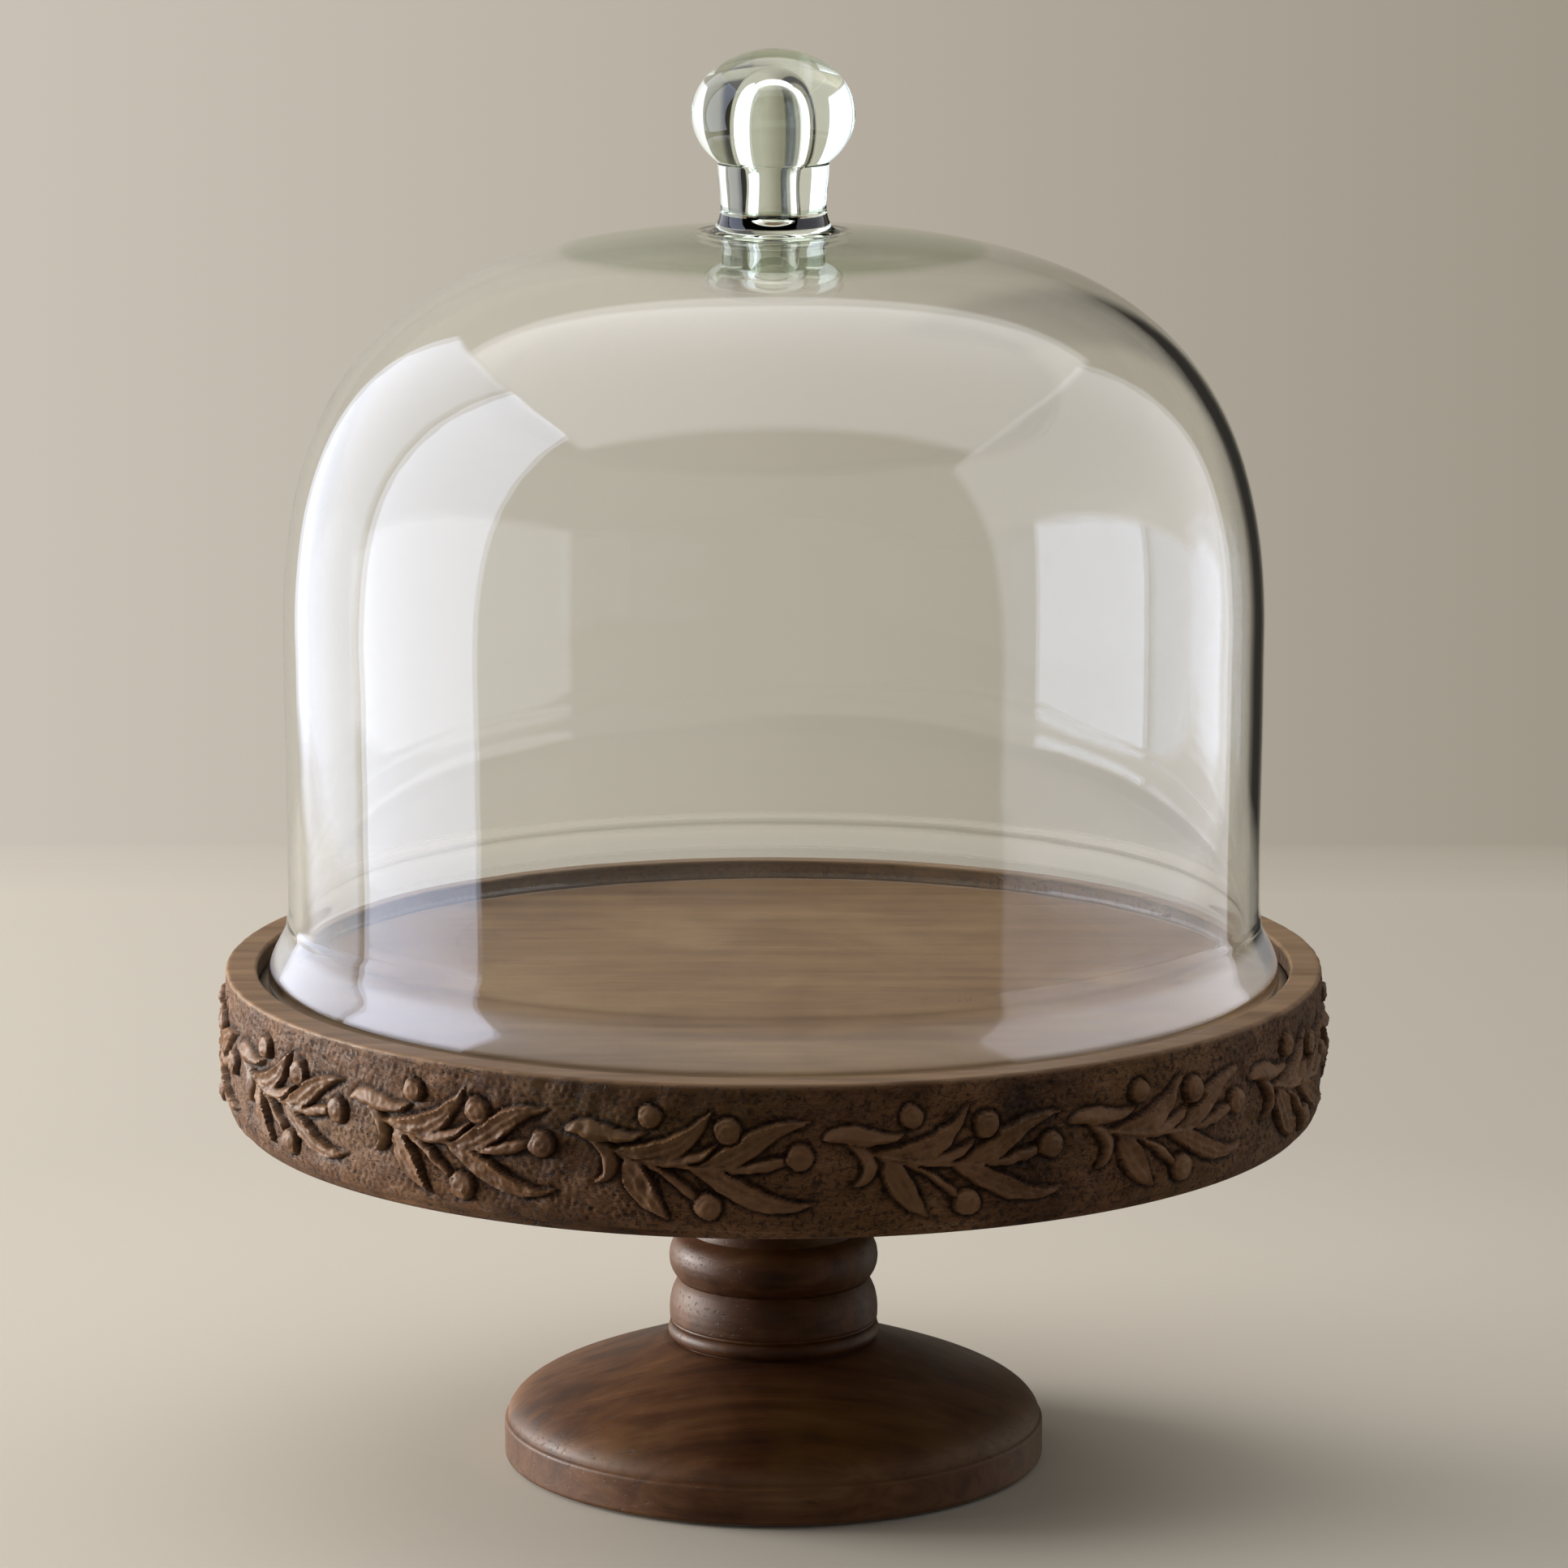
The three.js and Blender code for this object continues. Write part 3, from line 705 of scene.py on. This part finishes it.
def tray_rim():
    columns = SPRIGS * SPRIG_COLUMNS
    band_step = 0.5
    lower_edge = arc((RIM_BOTTOM_RADIUS - 2.6, TRAY_BOTTOM + 2.6), (2.6, 2.6), -90, -8, 6)
    rows = round((TRAY_TOP - TRAY_BOTTOM - 4.0) / band_step)
    band_z = np.linspace(TRAY_BOTTOM + 3.0, TRAY_TOP - 1.0, rows)
    swell = np.clip((band_z - TRAY_BOTTOM) / 9.0, 0, 1)
    swell = swell * (2 - swell)
    band = [(RIM_BOTTOM_RADIUS + (RIM_RADIUS - RIM_BOTTOM_RADIUS) * k, z) for k, z in zip(swell, band_z)]
    top = (
        arc((RIM_RADIUS - 0.9, TRAY_TOP - 0.9), (0.9, 0.9), 10, 90, 4)
        + line((RIM_RADIUS - 1.6, TRAY_TOP), (RECESS_RADIUS + 0.9, TRAY_TOP), step=2.0)
        + arc((RECESS_RADIUS + 0.7, TRAY_TOP - 0.7), (-0.7, 0.7), 90, 0, 4)
    )
    ledge = ((RECESS_RADIUS, FLOOR_BOTTOM), (LEDGE_RADIUS, FLOOR_BOTTOM))
    inside = line((RECESS_RADIUS, TRAY_TOP - 1.6), *ledge, step=4)
    under = line((LEDGE_RADIUS, TRAY_BOTTOM), (RIM_BOTTOM_RADIUS - 3.6, TRAY_BOTTOM), step=5)
    outline = np.array(lower_edge + band + top + inside + under)
    down = outline[:, 1] - TRAY_TOP
    first, last = len(lower_edge), len(lower_edge) + rows

    relief = np.zeros((len(outline), columns))
    patina_and_shade = np.zeros_like(relief)
    raised = np.zeros_like(relief)
    relief[first:last], patina_and_shade[first:last], raised[first:last] = frieze_relief(down[first:last])
    fade = smoothstep(0, 3.0, np.minimum(band_z - band_z[0], band_z[-1] - band_z) + 0.4)
    relief[first:last] *= fade[:, None]

    u = np.arange(columns) * PITCH / SPRIG_COLUMNS
    edge_wear = 0.09 * soft_noise(u[None, :], down[:, None], SEED + 11, 9.0)
    nicks = np.clip(soft_noise(u[None, :], down[:, None] * 0.2, SEED + 12, 3.0) - 1.1, 0, 1)
    edge_wear = edge_wear - 0.16 * nicks
    relief += edge_wear * smoothstep(150.0, 151.5, outline[:, 0])[:, None]

    angle = np.arange(columns) * 2 * math.pi / columns + math.radians(FIRST_SPRIG_DEG - 90)
    r = outline[:, :1] + relief
    z = np.repeat(outline[:, 1:], columns, axis=1)
    vertices = np.stack([r * np.cos(angle), r * np.sin(angle), z], axis=-1).reshape(-1, 3)
    rim = mesh_object("carved_rim", vertices, turned_faces(len(outline), columns, True), 50)
    # Painted light: marks the rim's top 1.6 mm, its flat top face, for a lighter colour.
    painted_top_light = np.repeat(smoothstep(-1.6, -0.5, down)[:, None], columns, axis=1)
    # Painted shade: the rim's inner wall, in the recess round the glass lip, is darkened a little.
    corner = (outline[:, 0] < RECESS_RADIUS + 0.2) & (down < -0.6)
    patina_and_shade[corner] = 0.15
    for name, values in (("patina_and_shade", patina_and_shade), ("raised", raised), ("painted_top_light", painted_top_light)):
        store(rim, name, values)
    rim.data.materials.append(wood_material("carved_wood", CARVED_STAIN, AMBER, carved=True))
    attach(rim, "stand")
    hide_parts("tray_rim")


# ---- The rest of the stand ----


def turning_marks(seed, size=0.05):
    def marks(angle, r, z):
        rings = np.sin(z * 2.9 + r * 1.7 + seed) + 0.6 * np.sin(z * 5.3 - r * 2.1 + 2 * seed)
        return size * (0.35 * rings + wave(angle, z, seed, 1.0, (1, 2, 3, 4)))

    return marks


def tray_floor():
    r, top, bottom = FLOOR_RADIUS, FLOOR_TOP, FLOOR_BOTTOM
    outline = (
        line((0, bottom), (r, bottom), step=12)
        + line((r, bottom), (r, top - 0.5), step=6)
        + arc((r - 0.5, top - 0.5), (0.5, 0.5), 0, 90, 3)
        + line((r - 1, top), (138, top), step=0.8)
        + line((138, top), (0, top), step=6)
    )
    panel = turned("floor_panel", outline, sides=192, closed=False)
    wood = wood_material("floor_wood", FLOOR_STAIN, FLOOR_STAIN[3], streak=0.8, roughness=(0.42, 0.6))
    panel.data.materials.append(wood)
    # Painted shade: the floor's outer ring, under the gap between the glass lip and the rim, is darkened.
    reach = [math.hypot(v.co.x, v.co.y) / MM for v in panel.data.vertices]
    store(panel, "painted_gap_shade", smoothstep(141.0, 142.5, np.array(reach)))
    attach(panel, "stand")
    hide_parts("tray_floor")


def pedestal_column():
    base, top = FOOT_TOP, TRAY_BOTTOM
    groove_z = base + 17.5
    bead_z = groove_z + 6.4
    outline = (
        line(
            (COLUMN_BORE, TENON_BOTTOM),
            (COLUMN_TENON - 0.6, TENON_BOTTOM),
            (COLUMN_TENON, TENON_BOTTOM + 0.6),
        )
        + line((COLUMN_TENON, TENON_BOTTOM + 0.6), (COLUMN_TENON, base), (COLUMN_BEAD - 1.6, base), step=3)
        + arc((COLUMN_BEAD - 2.5, base + 2.7), (2.9, 2.7), -72, 64, 14)
        + arc((COLUMN_BEAD + 0.2, base + 5.7), (0.9, 0.6), 245, 115, 6)
        + bezier(
            (COLUMN_BEAD - 0.1, base + 6.5),
            (COLUMN_BEAD + 0.3, base + 11.5),
            (COLUMN_GROOVE + 1.9, groove_z - 2.4),
            (COLUMN_GROOVE, groove_z),
        )
        + arc((COLUMN_GROOVE - 2.4, bead_z), (COLUMN_BEAD - COLUMN_GROOVE + 2.4, 6.9), -66, 66, 30)
        + bezier(
            (COLUMN_NECK + 1.8, bead_z + 7.4),
            (COLUMN_NECK - 1.0, bead_z + 12),
            (COLUMN_NECK - 0.5, top - 10),
            (FLANGE_RADIUS - 2.2, top - 6.2),
            30,
        )
        + arc((FLANGE_RADIUS - 1.4, top - 4.4), (1.4, 1.4), -80, 0, 6)
        + line((FLANGE_RADIUS, top - 3), (FLANGE_RADIUS, top), (COLUMN_TENON, top), step=3)
        + line((COLUMN_TENON, top), (COLUMN_TENON, TENON_TOP), (COLUMN_BORE, TENON_TOP), step=3)
    )
    outline += line((COLUMN_BORE, TENON_TOP), (COLUMN_BORE, TENON_BOTTOM), step=8)
    column = turned("turned_column", outline, sides=192, wobble=turning_marks(3), smooth_angle=30)
    column.data.materials.append(wood_material("column_wood", DARK_STAIN, RUSSET, cloud=1.3))
    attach(column, "stand")
    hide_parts("pedestal_column")


def foot_disc():
    edge_z = FOOT_BOTTOM + FOOT_EDGE
    socket_floor = TENON_BOTTOM - SOCKET_GAP
    socket = COLUMN_TENON + SOCKET_GAP
    bore_top = (COLUMN_BORE, socket_floor)
    r = FOOT_RADIUS
    outline = (
        line((COUNTERBORE, COUNTERBORE_TOP), (COUNTERBORE, FOOT_BOTTOM + 0.5), step=4)
        + line((COUNTERBORE + 0.5, FOOT_BOTTOM), (r - 1.2, FOOT_BOTTOM), step=6)
        + arc((r - 1.0, FOOT_BOTTOM + 1.0), (1.0, 1.0), -90, 0, 6)
        + line((r, FOOT_BOTTOM + 1.4), (r, edge_z - 1.4), step=2)
        + arc((r - 0.9, edge_z - 0.9), (0.9, 0.9), 0, 58, 6)
        + bezier(
            (r - 0.8, edge_z + 0.2),
            (r - 1.2, edge_z + 8),
            (FOOT_SEAT + 27, FOOT_TOP - 10),
            (FOOT_SEAT + 1.2, FOOT_TOP - 0.4),
            60,
        )
        + line((FOOT_SEAT, FOOT_TOP), (socket, FOOT_TOP), (socket, socket_floor), bore_top, step=4)
        + line(bore_top, (COLUMN_BORE, COUNTERBORE_TOP), (COUNTERBORE, COUNTERBORE_TOP), step=4)
    )
    foot = turned("turned_foot", outline, sides=256, wobble=turning_marks(5, 0.06), smooth_angle=30)
    foot.data.materials.append(wood_material("foot_wood", DARK_STAIN, AMBER, cloud=0.8))
    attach(foot, "stand")
    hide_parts("foot_disc")


def finish_cad_nodes():
    """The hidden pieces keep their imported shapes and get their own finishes."""
    steel = metal_material("fixing_steel", (0.62, 0.62, 0.60), 0.28)
    brass = metal_material("insert_brass", (0.72, 0.52, 0.26), 0.25)
    felt = felt_material()
    bare = wood_material("plain_wood", BARE_WOOD, BARE_WOOD[1], roughness=(0.6, 0.8))
    finishes = {
        "mounting_block": bare,
        "threaded_insert": brass,
        "centre_bolt": steel,
        "bolt_washer": steel,
        "block_screw": steel,
        "foot_pad": felt,
    }
    for node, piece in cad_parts.items():
        for start, material in finishes.items():
            if node.startswith(start):
                for material_slot in piece.material_slots:
                    material_slot.material = material


# ---- The studio ----

SENSOR_WIDTH = 36.0
PHOTO_SIDE = 1932
FOCAL_PIXELS = 9035
CAMERA_DISTANCE = 2.0
CAMERA_HEIGHT = 0.5798
AIM_HEIGHT = 0.19255
SIDE_STEP = 0.0029


def camera():
    data = bpy.data.cameras.new("camera")
    data.sensor_width = SENSOR_WIDTH
    data.lens = SENSOR_WIDTH * FOCAL_PIXELS / PHOTO_SIDE
    data.clip_end = 100
    cam = bpy.data.objects.new("camera", data)
    cam.location = (SIDE_STEP, -CAMERA_DISTANCE, CAMERA_HEIGHT)
    aim = Vector((SIDE_STEP, 0, AIM_HEIGHT))
    cam.rotation_euler = (aim - cam.location).to_track_quat("-Z", "Y").to_euler()
    bpy.context.scene.collection.objects.link(cam)
    bpy.context.scene.camera = cam


def soft_edges(data, edge):
    """The panel's glow falls off towards its rim. edge: how wide the falloff is, as a share of its size."""
    data.use_nodes = True
    tree = data.node_tree
    tree.nodes.clear()
    place = tree.nodes.new("ShaderNodeNewGeometry")
    split = tree.nodes.new("ShaderNodeSeparateXYZ")
    tree.links.new(place.outputs["Parametric"], split.inputs[0])
    glow = tree.nodes.new("ShaderNodeMath")
    glow.operation = "MULTIPLY"
    for i in (0, 1):
        fold = tree.nodes.new("ShaderNodeMath")
        fold.operation = "PINGPONG"
        fold.inputs[1].default_value = 0.5
        tree.links.new(split.outputs[i], fold.inputs[0])
        ease = tree.nodes.new("ShaderNodeMapRange")
        ease.interpolation_type = "SMOOTHSTEP"
        ease.inputs["From Max"].default_value = edge
        tree.links.new(fold.outputs[0], ease.inputs["Value"])
        tree.links.new(ease.outputs[0], glow.inputs[i])
    emission = tree.nodes.new("ShaderNodeEmission")
    output = tree.nodes.new("ShaderNodeOutputLight")
    tree.links.new(glow.outputs[0], emission.inputs["Strength"])
    tree.links.new(emission.outputs[0], output.inputs[0])


def panel(name, centre, size, facing, radiance, colour=(1, 1, 1), edge=0.03):
    data = bpy.data.lights.new(name, "AREA")
    data.shape = "RECTANGLE"
    data.size, data.size_y = size
    data.energy = 4 * radiance * size[0] * size[1]
    data.color = colour
    soft_edges(data, edge)
    light = bpy.data.objects.new(name, data)
    light.location = centre
    light.rotation_euler = Vector(facing).to_track_quat("-Z", "Y").to_euler()
    light.visible_camera = False
    bpy.context.scene.collection.objects.link(light)
    return light


def only(light, piece, state):
    """state INCLUDE: the light falls on this piece alone. state EXCLUDE: it falls on all the others."""
    linked = bpy.data.collections.new(light.name + "_link")
    linked.objects.link(piece)
    linked.collection_objects[0].light_linking.link_state = state
    light.light_linking.receiver_collection = linked


def studio_lights(bell):
    """Softboxes stand on the left, a dimmer wall with a window on the right, and a pale ceiling above. The
    bell mirrors cool, even panels, and warmer ones of the same shapes light the wood and the tabletop."""
    left, right, above = 2.2, 2.2, 2.2
    warm, white, cool = (1.0, 0.96, 0.915), (1.0, 0.985, 0.97), (0.86, 0.94, 1.2)
    grey, lilac = (0.98, 0.98, 1.1), (0.99, 0.98, 1.03)
    from_left, from_right, down = (1, 0, 0), (-1, 0, 0), (0, 0, -1)
    window_x = right - 0.05
    window, window_size = (window_x, -0.36 * right, 0.5), (0.55 * right, 1.0)
    pane, pane_size = (window_x, 0.09 * right, 0.42), (0.32 * right, 0.9)
    wall, wall_size = (right, 0.08 * right, 1.0), (1.70 * right, 3.4)
    mirrored = [
        panel("mirrored_left", (-left, 0.0, 1.15), (0.70 * left, 3.5), from_left, 2.25, cool, 0.02),
        panel("mirrored_back", (-left, left, 1.15), (1.26 * left, 3.5), from_left, 1.05, cool, 0.04),
        panel("mirrored_wall", wall, wall_size, from_right, 0.86, grey),
        panel("mirrored_window", window, window_size, from_right, 0.12, cool),
        panel("mirrored_pane", pane, pane_size, from_right, 0.08, cool, 0.06),
        panel("mirrored_ceiling", (0.08, 0.45, above), (3.7, 2.9), down, 1.05, lilac, 0.05),
    ]
    lighting = [
        panel("left_front", (-left, 0.0, 1.15), (0.70 * left, 3.5), from_left, 2.6, warm),
        panel("left_back", (-left, left, 1.15), (1.22 * left, 3.5), from_left, 1.15, warm, 0.06),
        panel("left_low", (-left, 0.55, 0.40), (1.6, 0.8), (1, -0.2, 0), 31.0, warm, 0.2),
        panel("right_wall", wall, wall_size, from_right, 0.5, white, 0.04),
        panel("front_fill", (-0.4, -2.4, 1.3), (2.4, 1.6), (0.1, 1, -0.45), 0.7, warm, 0.2),
        panel("ceiling", (0.1, 0.45, above), (3.1, 2.9), down, 1.05, white, 0.05),
    ]
    for light in mirrored:
        only(light, bell, "INCLUDE")
    for light in lighting:
        only(light, bell, "EXCLUDE")


FLOOR_HALF = 0.82


def studio_floor():
    """A pale tabletop whose edge fades into the backdrop. Painted light makes it lighter to the left, towards
    the softboxes, and lighter near the stand, filling the stand's shadow. It doesn't show in reflections."""
    size = FLOOR_HALF * 1.2
    mesh = bpy.data.meshes.new("studio_floor")
    corners = [(-size, -size, 0), (size, -size, 0), (size, size, 0), (-size, size, 0)]
    mesh.from_pydata(corners, [], [[0, 1, 2, 3]])
    floor = bpy.data.objects.new("studio_floor", mesh)
    bpy.context.scene.collection.objects.link(floor)
    s = Shader("studio_floor")
    place = s.add("ShaderNodeTexCoord").outputs["Object"]
    split = s.add("ShaderNodeSeparateXYZ", {"Vector": place})
    reach = s.math("MAXIMUM", s.math("ABSOLUTE", split.outputs[0]), s.math("ABSOLUTE", split.outputs[1]))
    fade = s.span(reach, FLOOR_HALF - 0.05, FLOOR_HALF + 0.05)
    # Painted light: lighter to the left, towards the softboxes.
    side = s.span(split.outputs[0], -0.6, 0.6)
    colour = s.ramp(side, [(0.0, (0.475, 0.45, 0.405)), (1.0, (0.35, 0.326, 0.281))])
    # Painted light: lighter near the stand, filling the stand's shadow on the floor.
    distance = s.add("ShaderNodeVectorMath", {"Vector": place}, operation="LENGTH").outputs["Value"]
    colour = s.mix(s.span(distance, 0.12, 0.42, 0.45, 0.0), colour, (0.60, 0.56, 0.49))
    chalky = {"Base Color": colour, "Roughness": 0.8, "Specular IOR Level": 0.1}
    surface = s.add("ShaderNodeBsdfPrincipled", chalky)
    clear = s.add("ShaderNodeBsdfTransparent")
    mixed = s.add("ShaderNodeMixShader", {"Fac": fade})
    s.tree.links.new(surface.outputs[0], mixed.inputs[1])
    s.tree.links.new(clear.outputs[0], mixed.inputs[2])
    mesh.materials.append(s.finish(mixed.outputs[0]))
    floor.visible_glossy = False


def backdrop():
    """A taupe surround, lighter to the left. Only the wall behind the object lights it and shows in mirror
    reflections. A dark strip of it, behind and to the right, darkens the right edge of the glass."""
    world = bpy.data.worlds.new("backdrop")
    bpy.context.scene.world = world
    world.use_nodes = True
    tree = world.node_tree
    tree.nodes.clear()
    new, link = tree.nodes.new, tree.links.new
    coordinates = new("ShaderNodeTexCoord")
    split = new("ShaderNodeSeparateXYZ")
    link(coordinates.outputs["Generated"], split.inputs[0])
    across = new("ShaderNodeMapRange")
    across.inputs["From Min"].default_value = -0.12
    across.inputs["From Max"].default_value = 0.12
    link(split.outputs[0], across.inputs["Value"])
    tones = new("ShaderNodeValToRGB")
    tones.color_ramp.elements[0].color = (0.60, 0.55, 0.475, 1)
    tones.color_ramp.elements[1].color = (0.33, 0.295, 0.235, 1)
    link(across.outputs[0], tones.inputs[0])
    rays = new("ShaderNodeLightPath")
    seen = new("ShaderNodeBackground")
    link(tones.outputs[0], seen.inputs[0])
    dim = new("ShaderNodeBackground")
    dim.inputs[0].default_value = (0.03, 0.027, 0.024, 1)
    mirrored = new("ShaderNodeMath")
    mirrored.operation = "SUBTRACT"
    mirrored.use_clamp = True
    link(rays.outputs["Is Glossy Ray"], mirrored.inputs[0])
    link(rays.outputs["Is Transmission Ray"], mirrored.inputs[1])
    unseen = new("ShaderNodeMath")
    unseen.operation = "MAXIMUM"
    link(rays.outputs["Is Diffuse Ray"], unseen.inputs[0])
    link(mirrored.outputs[0], unseen.inputs[1])
    ahead = new("ShaderNodeMapRange")
    ahead.interpolation_type = "SMOOTHSTEP"
    ahead.inputs["From Min"].default_value = 0.65
    ahead.inputs["From Max"].default_value = 0.15
    link(split.outputs[1], ahead.inputs["Value"])
    shade = new("ShaderNodeMath")
    shade.operation = "MULTIPLY"
    link(unseen.outputs[0], shade.inputs[0])
    link(ahead.outputs[0], shade.inputs[1])
    edge = new("ShaderNodeValToRGB")
    edge.color_ramp.interpolation = "EASE"
    stops = ((0.0, 0.0), (0.17, 0.0), (0.24, 1.0), (0.42, 1.0), (0.52, 0.0))
    while len(edge.color_ramp.elements) < len(stops):
        edge.color_ramp.elements.new(1.0)
    for element, (position, amount) in zip(edge.color_ramp.elements, stops):
        element.position = position
        element.color = (amount, amount, amount, 1)
    link(split.outputs[0], edge.inputs[0])
    rear = new("ShaderNodeMath")
    rear.operation = "GREATER_THAN"
    link(split.outputs[1], rear.inputs[0])
    indirect = new("ShaderNodeMath")
    indirect.operation = "MULTIPLY"
    link(rays.outputs["Is Glossy Ray"], indirect.inputs[0])
    link(rear.outputs[0], indirect.inputs[1])
    flag = new("ShaderNodeMath")
    flag.operation = "MULTIPLY"
    link(edge.outputs[0], flag.inputs[0])
    link(indirect.outputs[0], flag.inputs[1])
    dark = new("ShaderNodeMath")
    dark.operation = "MAXIMUM"
    link(shade.outputs[0], dark.inputs[0])
    link(flag.outputs[0], dark.inputs[1])
    mixed = new("ShaderNodeMixShader")
    link(dark.outputs[0], mixed.inputs[0])
    link(seen.outputs[0], mixed.inputs[1])
    link(dim.outputs[0], mixed.inputs[2])
    output = new("ShaderNodeOutputWorld")
    link(mixed.outputs[0], output.inputs[0])


def studio(bell):
    camera()
    studio_floor()
    backdrop()
    bpy.context.scene.view_settings.view_transform = "Standard"
    studio_lights(bell)


studio(glass_bell())
tray_rim()
tray_floor()
pedestal_column()
foot_disc()
finish_cad_nodes()
